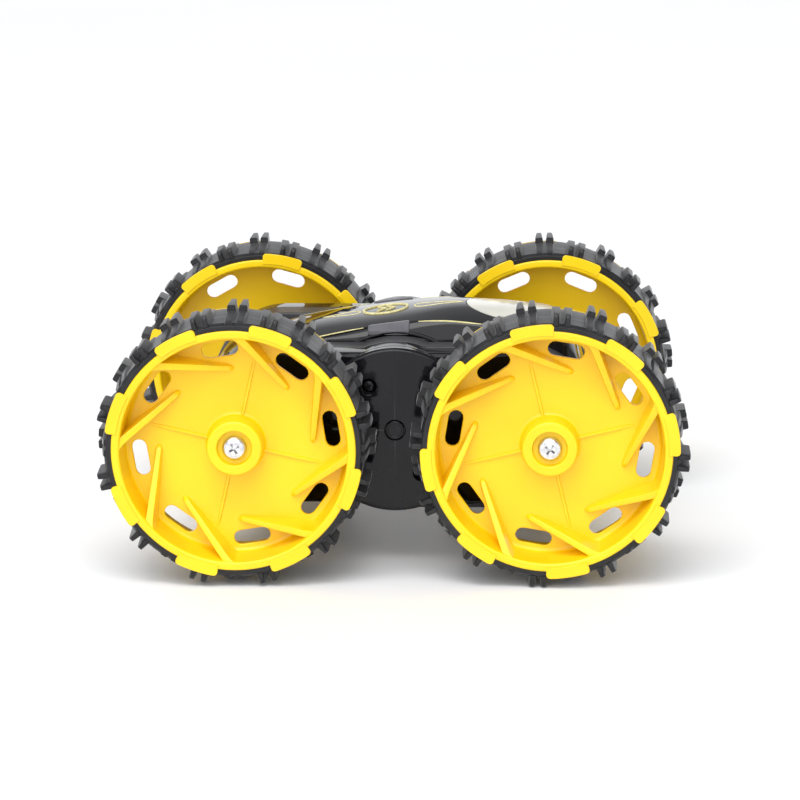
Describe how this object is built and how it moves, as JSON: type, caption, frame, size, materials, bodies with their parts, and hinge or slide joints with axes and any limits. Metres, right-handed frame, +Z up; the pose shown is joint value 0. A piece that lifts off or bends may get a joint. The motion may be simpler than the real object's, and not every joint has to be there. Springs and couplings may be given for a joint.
{
  "type": "four-wheel stunt car chassis",
  "caption": "Low double-sided four-wheel stunt car: gloss black body between side gearboxes, yellow paddle-bladed wheels with lugged black tyres.",
  "frame": {"origin": "on the floor, under the middle of the four wheels", "axes": "+X to the front, +Y to the left, +Z up; the axles run along Y"},
  "size_m": [0.2039, 0.17, 0.096],
  "materials": {
    "yellow_plastic": "moulded, satin gloss",
    "tyre_rubber": "soft rubber, satin",
    "gloss_black": "high gloss",
    "silver_plastic": "bright silver, high gloss",
    "pale_yellow": "printed, gloss",
    "steel": "plated steel",
    "dark_steel": "blackened steel",
    "brass": "bare",
    "white_nylon": "moulded nylon",
    "seal_rubber": "matt",
    "battery_wrap": "shrink wrap",
    "board_green": "lacquered",
    "black_plastic": "satin"
  },
  "bodies": {
    "chassis": {"front_right_axle_seal": "seal_rubber", "rear_right_axle_seal": "seal_rubber", "front_left_axle_seal": "seal_rubber", "rear_left_axle_seal": "seal_rubber", "right_gearbox_housing": "black_plastic", "right_gearbox_cover": "gloss_black", "right_pod_plug": "gloss_black", "right_gearbox_screw_1": "dark_steel", "right_gearbox_screw_2": "dark_steel", "right_gearbox_screw_3": "dark_steel", "right_gearbox_screw_4": "dark_steel", "right_motor": "steel", "left_gearbox_housing": "black_plastic", "left_gearbox_cover": "gloss_black", "left_pod_plug": "gloss_black", "left_gearbox_screw_1": "dark_steel", "left_gearbox_screw_2": "dark_steel", "left_gearbox_screw_3": "dark_steel", "left_gearbox_screw_4": "dark_steel", "left_motor": "steel", "upper_shell": "gloss_black", "lower_shell": "gloss_black", "windscreen": "silver_plastic", "roof_badge": "pale_yellow", "battery_pack": "battery_wrap", "battery_door": "black_plastic", "battery_door_screw": "steel", "circuit_board": "board_green"},
    "front_right_wheel": {"front_right_rim": "yellow_plastic", "front_right_tyre": "tyre_rubber", "front_right_wheel_screw": "steel", "front_right_axle": "steel", "front_right_axle_gear": "white_nylon"},
    "rear_right_wheel": {"rear_right_rim": "yellow_plastic", "rear_right_tyre": "tyre_rubber", "rear_right_wheel_screw": "steel", "rear_right_axle": "steel", "rear_right_axle_gear": "white_nylon"},
    "front_left_wheel": {"front_left_rim": "yellow_plastic", "front_left_tyre": "tyre_rubber", "front_left_wheel_screw": "steel", "front_left_axle": "steel", "front_left_axle_gear": "white_nylon"},
    "rear_left_wheel": {"rear_left_rim": "yellow_plastic", "rear_left_tyre": "tyre_rubber", "rear_left_wheel_screw": "steel", "rear_left_axle": "steel", "rear_left_axle_gear": "white_nylon"},
    "right_motor_shaft": {"right_motor_pinion": "brass"},
    "right_compound": {"right_compound_gear": "white_nylon"},
    "right_drive": {"right_drive_gear": "white_nylon"},
    "right_front_idler": {"right_front_idler_gear": "white_nylon"},
    "right_rear_idler": {"right_rear_idler_gear": "white_nylon"},
    "left_motor_shaft": {"left_motor_pinion": "brass"},
    "left_compound": {"left_compound_gear": "white_nylon"},
    "left_drive": {"left_drive_gear": "white_nylon"},
    "left_front_idler": {"left_front_idler_gear": "white_nylon"},
    "left_rear_idler": {"left_rear_idler_gear": "white_nylon"},
    "power_slider": {"power_switch": "black_plastic"}
  },
  "joints": [
    {"name": "front_right_wheel_spin", "type": "hinge", "parent": "chassis", "child": "front_right_wheel", "pos_m": [0.054, -0.073, 0.048], "axis": [0, 1, 0], "continuous": true},
    {"name": "rear_right_wheel_spin", "type": "hinge", "parent": "chassis", "child": "rear_right_wheel", "pos_m": [-0.054, -0.073, 0.048], "axis": [0, 1, 0], "continuous": true},
    {"name": "right_front_idler_spin", "type": "hinge", "parent": "chassis", "child": "right_front_idler", "pos_m": [0.027, -0.042, 0.048], "axis": [0, 1, 0], "continuous": true},
    {"name": "right_rear_idler_spin", "type": "hinge", "parent": "chassis", "child": "right_rear_idler", "pos_m": [-0.027, -0.042, 0.048], "axis": [0, 1, 0], "continuous": true},
    {"name": "right_drive_spin", "type": "hinge", "parent": "chassis", "child": "right_drive", "pos_m": [0, -0.04, 0.048], "axis": [0, 1, 0], "continuous": true},
    {"name": "right_compound_spin", "type": "hinge", "parent": "chassis", "child": "right_compound", "pos_m": [0.00675, -0.0335, 0.05969], "axis": [0, 1, 0], "continuous": true},
    {"name": "right_motor_spin", "type": "hinge", "parent": "chassis", "child": "right_motor_shaft", "pos_m": [0.01275, -0.0315, 0.0493], "axis": [0, 1, 0], "continuous": true},
    {"name": "front_left_wheel_spin", "type": "hinge", "parent": "chassis", "child": "front_left_wheel", "pos_m": [0.054, 0.073, 0.048], "axis": [0, 1, 0], "continuous": true},
    {"name": "rear_left_wheel_spin", "type": "hinge", "parent": "chassis", "child": "rear_left_wheel", "pos_m": [-0.054, 0.073, 0.048], "axis": [0, 1, 0], "continuous": true},
    {"name": "left_front_idler_spin", "type": "hinge", "parent": "chassis", "child": "left_front_idler", "pos_m": [0.027, 0.042, 0.048], "axis": [0, 1, 0], "continuous": true},
    {"name": "left_rear_idler_spin", "type": "hinge", "parent": "chassis", "child": "left_rear_idler", "pos_m": [-0.027, 0.042, 0.048], "axis": [0, 1, 0], "continuous": true},
    {"name": "left_drive_spin", "type": "hinge", "parent": "chassis", "child": "left_drive", "pos_m": [0, 0.04, 0.048], "axis": [0, 1, 0], "continuous": true},
    {"name": "left_compound_spin", "type": "hinge", "parent": "chassis", "child": "left_compound", "pos_m": [-0.00675, 0.0335, 0.05969], "axis": [0, 1, 0], "continuous": true},
    {"name": "left_motor_spin", "type": "hinge", "parent": "chassis", "child": "left_motor_shaft", "pos_m": [-0.01275, 0.0315, 0.0493], "axis": [0, 1, 0], "continuous": true},
    {"name": "power_switch_slide", "type": "slide", "parent": "chassis", "child": "power_slider", "axis": [1, 0, 0], "range_m": [0, 0.004]}
  ],
  "couplings": [
    {"joint": "rear_right_wheel_spin", "follows": "front_right_wheel_spin", "ratio": 1},
    {"joint": "right_front_idler_spin", "follows": "front_right_wheel_spin", "ratio": -0.8},
    {"joint": "right_rear_idler_spin", "follows": "front_right_wheel_spin", "ratio": -0.8},
    {"joint": "right_drive_spin", "follows": "front_right_wheel_spin", "ratio": 1},
    {"joint": "right_compound_spin", "follows": "front_right_wheel_spin", "ratio": -3.5},
    {"joint": "right_motor_spin", "follows": "front_right_wheel_spin", "ratio": 10.5},
    {"joint": "rear_left_wheel_spin", "follows": "front_left_wheel_spin", "ratio": 1},
    {"joint": "left_front_idler_spin", "follows": "front_left_wheel_spin", "ratio": -0.8},
    {"joint": "left_rear_idler_spin", "follows": "front_left_wheel_spin", "ratio": -0.8},
    {"joint": "left_drive_spin", "follows": "front_left_wheel_spin", "ratio": 1},
    {"joint": "left_compound_spin", "follows": "front_left_wheel_spin", "ratio": -3.5},
    {"joint": "left_motor_spin", "follows": "front_left_wheel_spin", "ratio": 10.5}
  ]
}
